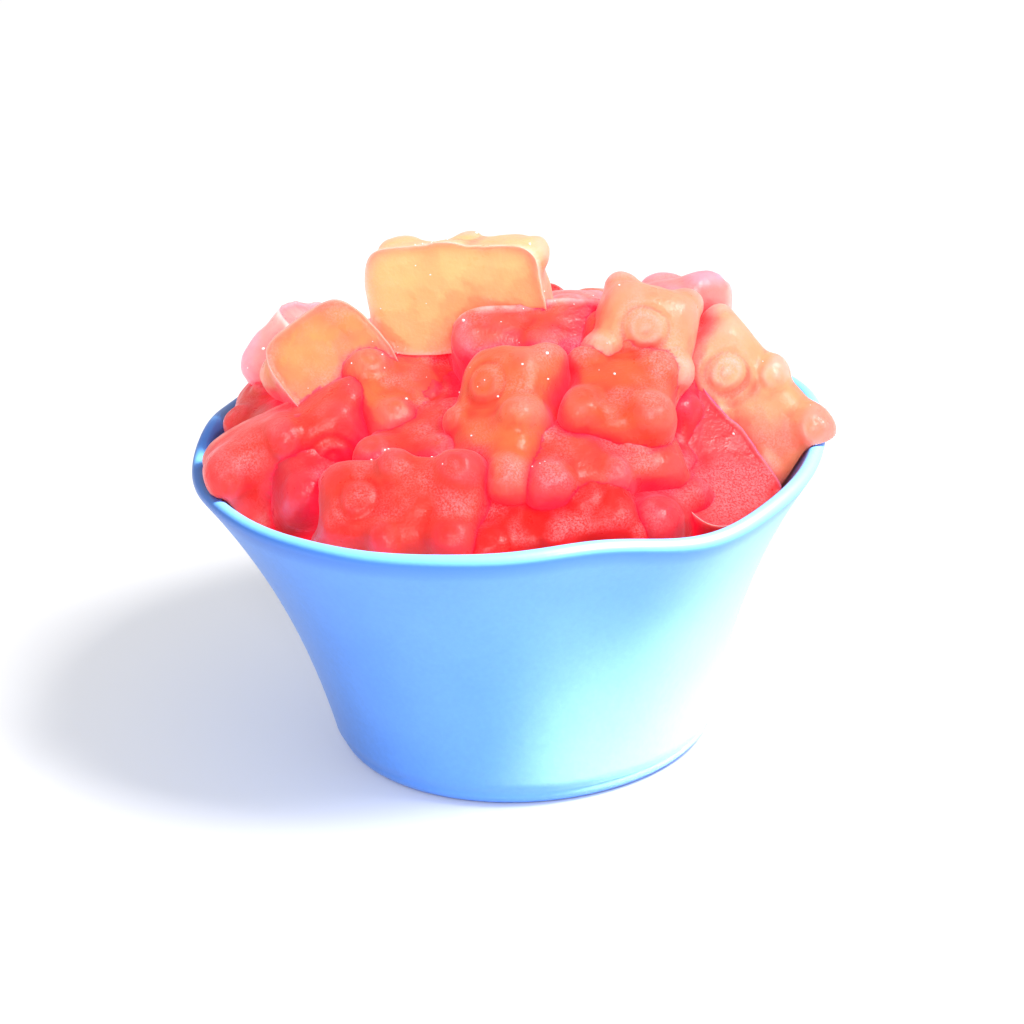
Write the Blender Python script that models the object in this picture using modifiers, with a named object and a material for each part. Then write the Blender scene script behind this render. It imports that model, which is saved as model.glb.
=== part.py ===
"""Gummy bears heaped in a small round bowl with a swirled rim, modelled at real size in metres, +Z up.

The origin is the middle of the bowl's flat underside and the front of the bowl faces -Y.
The bowl is one turned solid whose rim is swept into three petals. The bears are one solid: a domed
core that fills the bowl, with the bears that show standing out of it.
"""

import math
import random

import bmesh
import bpy
from mathutils import Matrix, Vector

MM = 0.001

# Bowl
BASE_RADIUS = 22.4 * MM
RIM_RADIUS = 37.0 * MM
BOWL_HEIGHT = 37.2 * MM
WALL_SPREAD = 7.4 * MM
FLARE_POWER = 2.45
WALL = 1.8 * MM
FLOOR = 3.0 * MM
FOOT_ROUND = 2.0 * MM
INNER_ROUND = 5.0 * MM
TURN_STEPS = 60
WALL_STEPS = 6
LIP_STEPS = 4
LOW_JOIN = 0.08
LIP_JOIN = 0.97

# The rim's three petals: each rises and draws in along its length, then drops and steps out
PETALS = 3
PETAL_NOTCH = math.radians(-64)
PETAL_RADIAL = 0.75 * MM
PETAL_RISE = 1.1 * MM
PETAL_HARMONICS = 4

# Towards the far side the petals fade and the rim dips a little, by the sine of the angle
BACK_START = 0.05
BACK_FULL = 0.5
BACK_DIP = 1.2 * MM

# Heap
GAP = 0.3 * MM
OUTSIDE = 15.0 * MM
CORE_GAP = 0.4 * MM
CORE_EDGE_DROP = 6.0 * MM
CORE_DOME = 11.5 * MM
CORE_TURN_STEPS = 36
CORE_RINGS = 4
VOXEL = 0.65 * MM
BEAR_TRIANGLES = 200

# The bears' places are given as seen from in front of the bowl, looking down at this tilt
SIGHT_TILT = math.radians(25.5)
SIGHT_CENTRE = Vector((0.0, 0.0, 18.0 * MM))

# One bear is a set of rounded lumps: centre, half sizes and squareness, in mm
# X is its width, -Y its front, +Z its head, and its back lies flat at Y = 0
BEAR_LENGTH = 22.0
BEAR_DEPTH = 9.4
BEAR_LUMPS = (
    ((0.0, -1.0, 7.2), (6.4, 7.8, 7.3), 4.2),
    ((0.0, -1.2, 15.4), (6.0, 7.6, 5.4), 4.0),
    ((0.0, -6.4, 7.4), (3.8, 2.6, 3.8), 2.3),
    ((0.0, -7.2, 14.8), (3.2, 2.3, 2.8), 2.2),
)
BEAR_PAIRS = (
    ((3.9, -3.2, 19.7), (2.1, 2.9, 2.0), 2.4),
    ((4.1, -5.8, 11.2), (2.8, 3.6, 2.4), 2.5),
    ((3.8, -5.6, 3.5), (3.1, 4.1, 3.2), 2.5),
)

# The bears that show from the front: name, place in mm, head direction and front direction,
# each as (across, up, near) from the middle of the bowl
FRONT_BEARS = (
    ("top_peach", (-4.1, 35.2, 12.0), (0.97, 0.03, 0.2), (0.1, 0.22, -0.97)),
    ("top_back", (7.0, 28.0, 3.5), (0.15, 0.5, -0.85), (0.0, 0.85, 0.5)),
    ("face_peach", (14.8, 25.0, 19.2), (0.33, 0.93, -0.15), (0.05, 0.15, 1.0)),
    ("tall_salmon", (19.4, 25.8, 6.0), (0.05, 1.0, 0.0), (-0.8, 0.0, 0.6)),
    ("rim_peach", (27.3, 20.6, 13.0), (-0.58, 0.8, 0.05), (0.2, -0.15, 0.97)),
    ("centre_coral", (-0.9, 18.4, 25.5), (0.2, 0.9, -0.35), (-0.6, 0.05, 0.8)),
    ("centre_orange", (13.4, 23.3, 21.0), (0.15, 0.72, -0.68), (0.0, 0.5, 0.86)),
    ("left_pale", (-22.5, 27.8, -2.5), (0.3, 0.1, -0.95), (-0.6, -0.7, 0.0)),
    ("left_orange", (-18.3, 22.8, 12.5), (0.55, -0.8, 0.15), (-0.1, -0.25, -0.96)),
    ("left_rim", (-24.4, 15.8, 17.0), (0.86, 0.42, 0.1), (0.1, -0.35, 0.9)),
    ("front_left", (-13.2, 9.4, 29.5), (-0.95, 0.05, -0.3), (-0.3, 0.35, 0.9)),
    ("front_red", (4.4, 7.4, 30.0), (1.0, 0.12, 0.0), (-0.1, 0.6, 0.8)),
    ("front_coral", (9.8, 13.6, 26.0), (0.9, 0.1, -0.3), (0.0, 0.6, 0.8)),
    ("right_flat", (20.2, 12.4, 18.2), (-0.5, 0.75, -0.35), (-0.2, -0.6, -0.8)),
    ("right_low", (16.4, 8.4, 22.0), (0.5, 0.3, -0.8), (-0.1, 0.6, 0.75)),
    ("upper_red", (3.5, 25.8, 14.0), (-0.97, 0.05, 0.2), (0.1, -0.85, 0.5)),
    ("mid_left_orange", (-8.7, 22.5, 13.0), (0.85, 0.1, -0.4), (0.0, 0.6, 0.8)),
    ("mid_left_red", (-10.0, 18.2, 17.5), (0.2, 0.6, -0.75), (-0.2, 0.5, 0.8)),
    ("deep_left", (-17.6, 13.6, 17.0), (0.9, -0.1, -0.3), (0.0, 0.5, 0.85)),
    ("deep_right", (19.5, 18.0, 14.0), (0.1, 0.9, -0.3), (0.9, 0.0, 0.4)),
    ("back_left", (-13.5, 24.0, 4.0), (0.9, 0.0, -0.4), (0.0, 1.0, 0.1)),
    ("front_deep", (-4.5, 6.2, 24.5), (0.8, 0.4, -0.3), (0.0, 0.3, 0.9)),
    ("left_side", (-26.6, 20.6, 7.5), (0.0, 0.5, -0.86), (-0.4, 0.8, 0.4)),
)

# The far side of the heap, in rings about the axis: radius, height, first and last angle, count,
# then the head and front directions as (round the ring, outwards, up)
BACK_RINGS = (
    (25.0 * MM, 33.5 * MM, 10.0, 158.0, 5, (1.0, 0.0, 0.15), (0.0, 1.0, 0.4)),
    (21.5 * MM, 37.4 * MM, 22.0, 148.0, 5, (0.3, 0.85, 0.4), (0.0, -0.45, 0.85)),
    (13.0 * MM, 42.6 * MM, 42.0, 142.0, 3, (0.8, 0.4, 0.1), (0.0, 0.3, 1.0)),
)
BACK_TUMBLE = 0.3
SEED = 59

CORAL = (0.95, 0.16, 0.11, 1.0)
PALE_BLUE = (0.36, 0.66, 1.0, 1.0)


def clear_scene():
    """Remove whatever the open file holds."""
    for item in list(bpy.data.objects):
        bpy.data.objects.remove(item, do_unlink=True)
    for old in list(bpy.data.collections):
        bpy.data.collections.remove(old)


def make_collection(name):
    """Add a collection to the scene."""
    group = bpy.data.collections.new(name)
    bpy.context.scene.collection.children.link(group)
    return group


def make_material(name, colour, roughness):
    """A plain surface colour for one sub-part."""
    material = bpy.data.materials.new(name)
    material.use_nodes = True
    shader = material.node_tree.nodes["Principled BSDF"]
    shader.inputs["Base Color"].default_value = colour
    shader.inputs["Roughness"].default_value = roughness
    shader.inputs["Metallic"].default_value = 0.0
    material.diffuse_color = colour
    return material


def wall_radius(height):
    """Outer radius of the bowl at a share of its height, from 0 at the base to 1 at the rim."""
    flare = RIM_RADIUS - BASE_RADIUS - WALL_SPREAD
    return BASE_RADIUS + WALL_SPREAD * height + flare * height ** FLARE_POWER


def wall_point(height, inset):
    """A point of the bowl's side, moved inwards from its outer face by inset."""
    step = 0.001
    slope = (wall_radius(height + step) - wall_radius(height - step)) / (2 * step * BOWL_HEIGHT)
    length = math.hypot(1.0, slope)
    radius = wall_radius(height) - inset / length
    return (radius, height * BOWL_HEIGHT + inset * slope / length)


def arc(centre, radius, start, end, steps):
    """Points of an arc in the radius and height plane, angles in degrees."""
    points = []
    for index in range(steps + 1):
        angle = math.radians(start + (end - start) * index / steps)
        points.append((centre[0] + radius * math.cos(angle), centre[1] + radius * math.sin(angle)))
    return points


def inner_profile(swell):
    """Half section of the bowl's inside, from the middle of its floor to the outer edge of the lip."""
    floor = FLOOR + swell
    inner_round = INNER_ROUND - swell
    low = (floor + inner_round * 0.8) / BOWL_HEIGHT
    corner_radius = wall_point(low, WALL + swell)[0]
    corner = (corner_radius - inner_round, floor + inner_round)
    lip_centre = wall_point(1.0, WALL / 2)
    rim_edge = wall_point(1.0, 0.0)
    outward = math.degrees(math.atan2(rim_edge[1] - lip_centre[1], rim_edge[0] - lip_centre[0]))
    points = [(0.0, floor)]
    points += arc(corner, inner_round, -90, -20, 2)
    start = low + LOW_JOIN
    for index in range(WALL_STEPS - 1):
        height = start + (LIP_JOIN - start) * index / (WALL_STEPS - 2)
        points.append(wall_point(height, WALL + swell))
    points += arc(lip_centre, WALL / 2 + swell, outward + 160, outward + 20, LIP_STEPS)
    return points


def bowl_profile():
    """Half section of the whole bowl, up its inside, over the lip and down to its base."""
    points = inner_profile(0.0)
    for index in range(WALL_STEPS):
        height = LIP_JOIN - (LIP_JOIN - LOW_JOIN) * index / (WALL_STEPS - 1)
        points.append(wall_point(height, 0.0))
    foot = (BASE_RADIUS - FOOT_ROUND, FOOT_ROUND)
    points += arc(foot, FOOT_ROUND, 0, -90, 3)
    points.append((0.0, 0.0))
    return points


def clearance_profile():
    """Half section of what the bears keep clear of: the bowl and all that lies outside it."""
    points = inner_profile(GAP)
    far = RIM_RADIUS + OUTSIDE
    points += [(far, BOWL_HEIGHT), (far, -GAP), (0.0, -GAP)]
    return points


def core_profile():
    """Half section of the heap's core: the bowl's inside with a clear gap, under a low dome."""
    floor = FLOOR + CORE_GAP
    inner_round = INNER_ROUND - CORE_GAP
    inset = WALL + CORE_GAP
    low = (floor + inner_round * 0.8) / BOWL_HEIGHT
    top = (BOWL_HEIGHT - CORE_EDGE_DROP) / BOWL_HEIGHT
    corner = (wall_point(low, inset)[0] - inner_round, floor + inner_round)
    edge = wall_point(top, inset)
    points = [(0.0, edge[1] + CORE_DOME)]
    for index in range(1, CORE_RINGS):
        share = index / CORE_RINGS
        points.append((edge[0] * share, edge[1] + CORE_DOME * (1.0 - share ** 2)))
    for index in range(CORE_RINGS + 1):
        height = top + (low + LOW_JOIN - top) * index / CORE_RINGS
        points.append(wall_point(height, inset))
    points += arc(corner, inner_round, -20, -90, 2)
    points.append((0.0, floor))
    return points


def turned_mesh(name, profile, steps):
    """Turn a half section about +Z with a Screw modifier and return the resulting mesh."""
    outline = bpy.data.meshes.new(name + "_outline")
    vertices = [(radius, 0.0, height) for radius, height in profile]
    edges = [(index, index + 1) for index in range(len(vertices) - 1)]
    outline.from_pydata(vertices, edges, [])
    turned = bpy.data.objects.new(name + "_turned", outline)
    bpy.context.scene.collection.objects.link(turned)
    screw = turned.modifiers.new("turn", "SCREW")
    screw.axis = "Z"
    screw.angle = math.tau
    screw.steps = steps
    screw.render_steps = steps
    screw.use_merge_vertices = True
    screw.merge_threshold = 0.00001
    depsgraph = bpy.context.evaluated_depsgraph_get()
    mesh = bpy.data.meshes.new_from_object(turned.evaluated_get(depsgraph))
    mesh.name = name
    bpy.data.objects.remove(turned, do_unlink=True)
    return mesh


def petal_wave(angle):
    """Sawtooth of the three petals, softened by using only its first few waves."""
    total = 0.0
    for wave in range(1, PETAL_HARMONICS + 1):
        weight = (1.0 - wave / (PETAL_HARMONICS + 1.5)) / wave
        total += weight * math.sin(wave * PETALS * (angle - PETAL_NOTCH))
    return total


def far_share(angle):
    """How much of the far side's plainer rim shows at an angle: 0 in front, 1 behind."""
    share = min(max((math.sin(angle) - BACK_START) / (BACK_FULL - BACK_START), 0.0), 1.0)
    return share * share * (3.0 - 2.0 * share)


def sweep_petals(mesh):
    """Draw the turned wall in and up along each petal, more so towards the rim."""
    for vertex in mesh.vertices:
        spot = vertex.co
        radius = math.hypot(spot.x, spot.y)
        share = min(max((spot.z - FLOOR) / (BOWL_HEIGHT - FLOOR), 0.0), 1.0)
        if radius < 0.3 * BASE_RADIUS or share <= 0.0:
            continue
        reach = min(radius / BASE_RADIUS, 1.0)
        angle = math.atan2(spot.y, spot.x)
        far = far_share(angle)
        wave = petal_wave(angle) * reach * (1.0 - far)
        grown = (radius + PETAL_RADIAL * wave * share) / radius
        spot.x *= grown
        spot.y *= grown
        spot.z -= (PETAL_RISE * wave + BACK_DIP * far * reach) * share
    return mesh


def make_solid(name, mesh, group, material):
    """Put a mesh in the scene as a smooth-shaded object with one material."""
    solid = bpy.data.objects.new(name, mesh)
    group.objects.link(solid)
    mesh.materials.clear()
    mesh.materials.append(material)
    mesh.shade_smooth()
    mesh.set_sharp_from_angle(angle=math.radians(50))
    return solid


def add_lump(bm, centre, half, squareness):
    """Add one rounded lump: a sphere pushed towards a box by its squareness."""
    made = bmesh.ops.create_icosphere(bm, subdivisions=3, radius=1.0)
    for vertex in made["verts"]:
        unit = vertex.co.normalized()
        total = sum(abs(value) ** squareness for value in unit)
        push = total ** (-1.0 / squareness)
        for axis in range(3):
            vertex.co[axis] = (centre[axis] + unit[axis] * push * half[axis]) * MM


def bear_mesh():
    """One soft bear with few sides, its middle at the origin."""
    bm = bmesh.new()
    for centre, half, squareness in BEAR_LUMPS:
        add_lump(bm, centre, half, squareness)
    for centre, half, squareness in BEAR_PAIRS:
        for side in (-1.0, 1.0):
            add_lump(bm, (side * centre[0], centre[1], centre[2]), half, squareness)
    rough = bpy.data.meshes.new("bear_lumps")
    bm.to_mesh(rough)
    bm.free()
    bear = bpy.data.objects.new("bear_lumps", rough)
    bpy.context.scene.collection.objects.link(bear)
    remesh = bear.modifiers.new("fuse", "REMESH")
    remesh.mode = "VOXEL"
    remesh.voxel_size = VOXEL
    smooth = bear.modifiers.new("soften", "SMOOTH")
    smooth.factor = 0.5
    smooth.iterations = 7
    depsgraph = bpy.context.evaluated_depsgraph_get()
    fused = bpy.data.meshes.new_from_object(bear.evaluated_get(depsgraph))
    bear.modifiers.clear()
    bear.data = fused
    for vertex in fused.vertices:
        vertex.co.y = min(vertex.co.y, 0.0)
    triangles = sum(len(face.vertices) - 2 for face in fused.polygons)
    fewer = bear.modifiers.new("fewer", "DECIMATE")
    fewer.ratio = BEAR_TRIANGLES / triangles
    rounder = bear.modifiers.new("rounder", "SMOOTH")
    rounder.factor = 0.3
    rounder.iterations = 1
    depsgraph = bpy.context.evaluated_depsgraph_get()
    mesh = bpy.data.meshes.new_from_object(bear.evaluated_get(depsgraph))
    mesh.name = "bear"
    bpy.data.objects.remove(bear, do_unlink=True)
    middle = Vector((0.0, BEAR_DEPTH / 2, -BEAR_LENGTH / 2)) * MM
    mesh.transform(Matrix.Translation(middle))
    return mesh


def pose_matrix(place, head, front):
    """Place a bear by its middle, the way its head points and the way its front faces."""
    up = head.normalized()
    back = -(front - up * front.dot(up)).normalized()
    side = back.cross(up)
    turn = Matrix((side, back, up)).transposed()
    return Matrix.Translation(place) @ turn.to_4x4()


def from_sight(vector):
    """Turn (across, up, near), as seen from in front, into the part's own axes."""
    across, up, near = vector
    y = up * math.sin(SIGHT_TILT) - near * math.cos(SIGHT_TILT)
    z = up * math.cos(SIGHT_TILT) + near * math.sin(SIGHT_TILT)
    return Vector((across, y, z))


def front_poses():
    """Matrices of the bears that show from the front."""
    poses = []
    for _name, place, head, front in FRONT_BEARS:
        spot = SIGHT_CENTRE + from_sight(place) * MM
        poses.append(pose_matrix(spot, from_sight(head), from_sight(front)))
    return poses


def back_poses():
    """Matrices of the bears on the far side, tumbled by a seeded draw."""
    draw = random.Random(SEED)
    poses = []
    for radius, height, first, last, count, head, front in BACK_RINGS:
        for index in range(count):
            angle = math.radians(first + (last - first) * index / (count - 1))
            outward = Vector((math.cos(angle), math.sin(angle), 0.0))
            along = Vector((-outward.y, outward.x, 0.0))
            up = Vector((0.0, 0.0, 1.0))
            turned = []
            for direction in (head, front):
                tumbled = [value + draw.uniform(-BACK_TUMBLE, BACK_TUMBLE) for value in direction]
                flip = draw.choice((-1.0, 1.0))
                turned.append((along * tumbled[0] + outward * tumbled[1] + up * tumbled[2]) * flip)
            spot = outward * radius + Vector((0.0, 0.0, height))
            poses.append(pose_matrix(spot, turned[0], turned[1]))
    return poses


def boolean(target, operation, solver, cutter=None, group=None):
    """Apply one Boolean to the target with a cutter or with every object of a collection."""
    step = target.modifiers.new(operation.lower(), "BOOLEAN")
    step.operation = operation
    step.solver = solver
    if group is not None:
        step.operand_type = "COLLECTION"
        step.collection = group
    else:
        step.object = cutter
    depsgraph = bpy.context.evaluated_depsgraph_get()
    mesh = bpy.data.meshes.new_from_object(target.evaluated_get(depsgraph))
    target.modifiers.clear()
    target.data = mesh


def keep_main_body(mesh):
    """Fill sealed hollows and drop loose scraps by keeping only the largest closed surface."""
    bm = bmesh.new()
    bm.from_mesh(mesh)
    bmesh.ops.triangulate(bm, faces=bm.faces)
    islands = []
    seen = set()
    for start in bm.verts:
        if start in seen:
            continue
        seen.add(start)
        island = [start]
        for vertex in island:
            for edge in vertex.link_edges:
                other = edge.other_vert(vertex)
                if other not in seen:
                    seen.add(other)
                    island.append(other)
        islands.append(island)
    islands.sort(key=len)
    for island in islands[:-1]:
        bmesh.ops.delete(bm, geom=island, context="VERTS")
    bm.to_mesh(mesh)
    bm.free()


def main():
    clear_scene()
    group = make_collection("gummy_bears_in_bowl")
    cutters = make_collection("cutters")
    operands = make_collection("bears_to_join")

    glaze = make_material("pale_blue_glaze", PALE_BLUE, 0.35)
    gel = make_material("coral_gel", CORAL, 0.3)

    bowl_mesh = sweep_petals(turned_mesh("bowl", bowl_profile(), TURN_STEPS))
    make_solid("bowl", bowl_mesh, group, glaze)

    core_mesh = sweep_petals(turned_mesh("gummy_bears", core_profile(), CORE_TURN_STEPS))
    heap = make_solid("gummy_bears", core_mesh, group, gel)

    bear = bear_mesh()
    for pose in front_poses() + back_poses():
        copy = bpy.data.objects.new("bear", bear)
        copy.matrix_world = pose
        operands.objects.link(copy)

    swelled = sweep_petals(turned_mesh("bowl_clearance", clearance_profile(), TURN_STEPS))
    clearance = bpy.data.objects.new("bowl_clearance", swelled)
    clearance.hide_render = True
    clearance.display_type = "WIRE"
    cutters.objects.link(clearance)

    boolean(heap, "UNION", "MANIFOLD", group=operands)
    boolean(heap, "DIFFERENCE", "MANIFOLD", cutter=clearance)
    keep_main_body(heap.data)
    for copy in list(operands.objects):
        bpy.data.objects.remove(copy, do_unlink=True)
    bpy.data.collections.remove(operands)


main()
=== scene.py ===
"""The looks of a heap of gummy bears in a small pale blue bowl.

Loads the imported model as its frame, puts single soft gel bears over a dark core where the solids have
the fused heap, and a fine glazed bowl where they have the turned one. Everything is in metres, +Z up,
with the origin in the middle of the bowl's flat underside and the front facing -Y.
"""

import math
import random

import bmesh
import bpy
import numpy as np
from mathutils import Matrix, Vector, noise
from mathutils.bvhtree import BVHTree

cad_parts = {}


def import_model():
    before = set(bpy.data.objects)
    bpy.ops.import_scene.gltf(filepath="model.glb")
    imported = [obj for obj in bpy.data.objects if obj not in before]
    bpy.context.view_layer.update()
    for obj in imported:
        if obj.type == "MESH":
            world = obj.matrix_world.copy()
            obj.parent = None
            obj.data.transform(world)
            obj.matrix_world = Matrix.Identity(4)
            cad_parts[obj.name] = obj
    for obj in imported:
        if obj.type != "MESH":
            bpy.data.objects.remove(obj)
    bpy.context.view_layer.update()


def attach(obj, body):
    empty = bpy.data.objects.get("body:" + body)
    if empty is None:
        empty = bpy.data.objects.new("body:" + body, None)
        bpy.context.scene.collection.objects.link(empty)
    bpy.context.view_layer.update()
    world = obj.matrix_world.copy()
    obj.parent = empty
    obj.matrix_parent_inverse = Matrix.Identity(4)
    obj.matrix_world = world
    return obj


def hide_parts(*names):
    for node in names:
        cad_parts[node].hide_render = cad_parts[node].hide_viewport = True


MM = 0.001

# Bowl, with the same named sizes as the solids
BASE_RADIUS = 22.4
RIM_RADIUS = 37.0
BOWL_HEIGHT = 37.2
WALL_SPREAD = 7.4
FLARE_POWER = 2.45
WALL = 1.8
FLOOR = 3.0
FOOT_ROUND = 2.0
INNER_ROUND = 5.0
PETALS = 3
PETAL_NOTCH = math.radians(-64)
PETAL_RADIAL = 0.75
PETAL_RISE = 1.1
PETAL_HARMONICS = 4
BACK_START = 0.05
BACK_FULL = 0.5
BACK_DIP = 1.2
STILL_RADIUS = 0.3 * BASE_RADIUS
BOWL_TURN_STEPS = 240
BOWL_WALL_STEPS = 36
BOWL_ARC_STEPS = 8

# Shares of the bowl's height: where its inner wall begins, how far over that its first step lies and
# where it ends, and where its outer wall ends and begins
INNER_LOW = (FLOOR + INNER_ROUND * 0.8) / BOWL_HEIGHT
INNER_STEP = 0.05
INNER_TOP = 0.985
OUTER_TOP = 0.99
OUTER_LOW = 0.07

# Heap
GAP = 0.3
CORE_GAP = 1.6
CORE_TOP = 30.0
CORE_DOME = 11.0
CORE_TURN_STEPS = 120
CORE_RINGS = 12
CORE_WALL_STEPS = 8
CORE_STEP = 0.08

# A bear that would enter the bowl's wall moves in, or up to this far over the wall's end where that is
# less than so many times the way in
LIP_OVER = 1.4
IN_SHARE = 0.8

SIGHT_TILT = math.radians(25.5)
SIGHT_CENTRE = Vector((0.0, 0.0, 18.0))

# One bear: X is its width, -Y its front, +Z its head, and its back lies flat at Y = 0, all in mm
VOXEL = 0.46
BEAR_LENGTH = 22.0
BEAR_DEPTH = 9.4
BEAR_LUMPS = (
    ((0.0, -1.0, 7.2), (6.4, 7.8, 7.3), 4.2),
    ((0.0, -1.2, 15.4), (6.0, 7.6, 5.4), 4.0),
    ((0.0, -6.4, 7.4), (3.8, 2.6, 3.8), 2.3),
    ((0.0, -7.2, 14.8), (3.2, 2.3, 2.8), 2.2),
)
BEAR_PAIRS = (
    ((3.9, -3.2, 19.7), (2.1, 2.9, 2.0), 2.4),
    ((4.1, -5.8, 11.2), (2.8, 3.6, 2.4), 2.5),
    ((3.8, -5.6, 3.5), (3.1, 4.1, 3.2), 2.5),
)
SOFTENING = 14
FINENESS = 4

# The relief of its back and front, each with the depths over which it comes or goes
BACK_RIDGE = 0.06
RIDGE_RISE = (0.0, 0.5)
RIDGE_FALL = (0.7, 1.9)
BACK_DISH = 0.4
DISH_RAMP = (1.0, 6.0)
EDGE_RISE = (-1.1, -0.2)
EDGE_FALL = (0.2, 1.0)
FRONT_RAMP = (5.6, 7.4)
SNOUT_STRETCH = 1.05
SNOUT = (0.0, 14.8)
PAW_SPOTS = ((4.6, 10.9), (-4.6, 10.9), (4.1, 3.2), (-4.1, 3.2))

# Rings on the snout and the paws, in mm: height, spacing, where they begin to fade and where they end
SNOUT_RINGS = (0.10, 1.7, 2.8, 4.8)
PAW_RINGS = (0.07, 1.5, 1.2, 2.4)

# How uneven each bear is: its bend in mm, its twist in radians, and its swells as (height, width) in mm
BEND = 0.9
TWIST = 0.12
SWELLS = ((0.55, 5.5), (0.11, 1.7))

# Light in the heap: rays sent from each point, how far they look for other bears, how near a bear
# counts as touching, how far they look through the bear itself, how deep it may be and still count as
# thin, and how far under or over the face they start, all in mm
RAYS = 14
LIGHT_REACH = 22.0
TOUCH_REACH = 3.0
THICK_REACH = 14.0
THIN_DEPTH = 9.0
START_INSIDE = 0.05
START_OUTSIDE = 0.06
GOLDEN_TURN = 2.399963

# How many times a bear's form is blurred to find what stands out of it
BLURS = 14

# Each kind of bear is one piece: the colour of its gel, how strongly the painted glow of its thin parts
# and the painted highlight of its rim pale it, and how cloudy it is
KINDS = {
    "honey": ((0.82, 0.475, 0.205), 0.55, 0.06),
    "peach": ((0.78, 0.29, 0.15), 0.6, 0.09),
    "pale": ((0.78, 0.31, 0.29), 0.7, 0.09),
    "orange": ((0.72, 0.13, 0.045), 0.5, 0.2),
    "coral": ((0.66, 0.048, 0.028), 0.4, 0.24),
    "red": ((0.63, 0.034, 0.040), 0.35, 0.24),
}

# The bears that show from the front: name, kind, how pale it is for its kind, then its place in mm, head
# direction and front direction, each as (across, up, near) from the middle of the bowl
FRONT_BEARS = (
    ("top_peach", "honey", 1.0, (-4.1, 35.2, 12.0), (0.97, 0.03, 0.2), (0.1, 0.22, -0.97)),
    ("top_back", "pale", 0.8, (7.0, 28.0, 3.5), (0.15, 0.5, -0.85), (0.0, 0.85, 0.5)),
    ("face_peach", "peach", 0.92, (14.8, 25.0, 19.2), (0.33, 0.93, -0.15), (0.05, 0.15, 1.0)),
    ("tall_salmon", "pale", 0.8, (19.4, 25.8, 6.0), (0.05, 1.0, 0.0), (-0.8, 0.0, 0.6)),
    ("rim_peach", "peach", 1.15, (27.3, 20.6, 13.0), (-0.58, 0.8, 0.05), (0.2, -0.15, 0.97)),
    ("centre_coral", "orange", 0.9, (-0.9, 18.4, 25.5), (0.2, 0.9, -0.35), (-0.6, 0.05, 0.8)),
    ("centre_orange", "orange", 0.62, (13.4, 23.3, 21.0), (0.15, 0.72, -0.68), (0.0, 0.5, 0.86)),
    ("left_pale", "pale", 1.2, (-22.5, 27.8, -2.5), (0.3, 0.1, -0.95), (-0.6, -0.7, 0.0)),
    ("left_orange", "orange", 1.9, (-18.3, 22.8, 12.5), (0.55, -0.8, 0.15), (-0.1, -0.25, -0.96)),
    ("left_rim", "coral", 0.85, (-24.4, 15.8, 17.0), (0.86, 0.42, 0.1), (0.1, -0.35, 0.9)),
    ("front_left", "coral", 0.84, (-13.2, 9.4, 29.5), (-0.95, 0.05, -0.3), (-0.3, 0.35, 0.9)),
    ("front_red", "coral", 0.25, (4.4, 7.4, 30.0), (1.0, 0.12, 0.0), (-0.1, 0.6, 0.8)),
    ("front_coral", "coral", 1.2, (9.8, 13.6, 26.0), (0.9, 0.1, -0.3), (0.0, 0.6, 0.8)),
    ("right_flat", "red", 1.3, (20.2, 12.4, 18.2), (-0.5, 0.75, -0.35), (-0.2, -0.6, -0.8)),
    ("right_low", "red", 1.0, (16.4, 8.4, 22.0), (0.5, 0.3, -0.8), (-0.1, 0.6, 0.75)),
    ("upper_red", "coral", 1.5, (3.5, 25.8, 14.0), (-0.97, 0.05, 0.2), (0.1, -0.85, 0.5)),
    ("mid_left_orange", "orange", 0.95, (-8.7, 22.5, 13.0), (0.85, 0.1, -0.4), (0.0, 0.6, 0.8)),
    ("mid_left_red", "coral", 1.0, (-10.0, 18.2, 17.5), (0.2, 0.6, -0.75), (-0.2, 0.5, 0.8)),
    ("deep_left", "red", 0.9, (-17.6, 13.6, 17.0), (0.9, -0.1, -0.3), (0.0, 0.5, 0.85)),
    ("deep_right", "red", 0.9, (19.5, 18.0, 14.0), (0.1, 0.9, -0.3), (0.9, 0.0, 0.4)),
    ("back_left", "red", 0.9, (-13.5, 24.0, 4.0), (0.9, 0.0, -0.4), (0.0, 1.0, 0.1)),
    ("front_deep", "red", 0.7, (-4.5, 6.2, 24.5), (0.8, 0.4, -0.3), (0.0, 0.3, 0.9)),
    ("left_side", "coral", 1.0, (-26.6, 20.6, 7.5), (0.0, 0.5, -0.86), (-0.4, 0.8, 0.4)),
)

# The far side of the heap, in rings about the axis: radius, height, first and last angle, count,
# then the head and front directions as (round the ring, outwards, up)
BACK_RINGS = (
    (25.0, 33.5, 10.0, 158.0, 5, (1.0, 0.0, 0.15), (0.0, 1.0, 0.4)),
    (21.5, 37.4, 22.0, 148.0, 5, (0.3, 0.85, 0.4), (0.0, -0.45, 0.85)),
    (13.0, 42.6, 42.0, 142.0, 3, (0.8, 0.4, 0.1), (0.0, 0.3, 1.0)),
)
BACK_KINDS = ("coral", "red", "orange", "coral", "red", "orange", "peach", "coral", "pale", "orange",
              "coral", "orange", "peach")
BACK_TUMBLE = 0.3
BACK_PALE = (0.82, 1.12)
SEED = 59

# Most of the painted highlight grain lies on faces that look this way, towards the light
SKY = (0.15, -0.45, 0.88)

# Tiny grains of sugar that glint on the bears: how many, their size and where they may lie, in mm, the
# way they fall, their form, and the share of their size that they stand out
SPECKS = 110
SPECK_SIZE = (0.07, 0.24)
SPECK_REACH = 33.0
SPECK_LOWEST = 30.0
SPECK_START = 80.0
SPECK_LEAN = ((-0.5, 0.5), (-0.2, 0.9))
SPECK_STRETCH = (0.7, 1.2)
SPECK_FLAT = 0.8
SPECK_OUT = 0.25

# Painted shade on the lip: the glaze darkens from the wall's colour to a deeper blue over these depths
# under its top, in mm
LIP_SHADE_DEPTHS = (-2.6, -0.4)

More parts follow.
